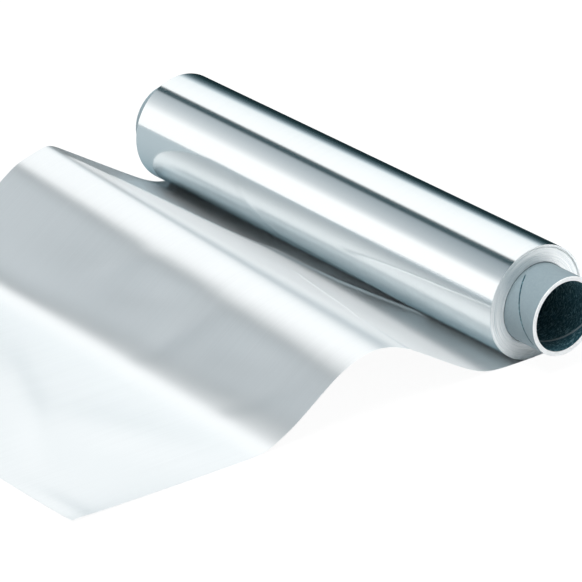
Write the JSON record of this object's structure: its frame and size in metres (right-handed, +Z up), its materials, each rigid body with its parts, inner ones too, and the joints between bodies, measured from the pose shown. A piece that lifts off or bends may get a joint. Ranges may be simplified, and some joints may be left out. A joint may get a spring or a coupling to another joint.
{
  "type": "aluminium foil roll",
  "caption": "Wide roll of household aluminium foil wound on a projecting paper core, lying on its own drawn-out sheet, which rises in a low hump and ends in a straight cut.",
  "frame": {"origin": "on the floor, at the middle of the whole part's box: halfway along the core, and halfway between the back of the roll and the free end of the sheet", "axes": "+X along the roll towards the longer end of its core, +Z up, and the sheet is drawn out towards -Y"},
  "size_m": [0.3358, 0.3238, 0.062],
  "materials": {
    "foil": "bright on the outside of the web, satin on its inside",
    "core_paper": "smooth grey paper, spiral wound"
  },
  "bodies": {
    "root": {"foil_web": "foil", "core_tube": "core_paper"}
  },
  "joints": []
}
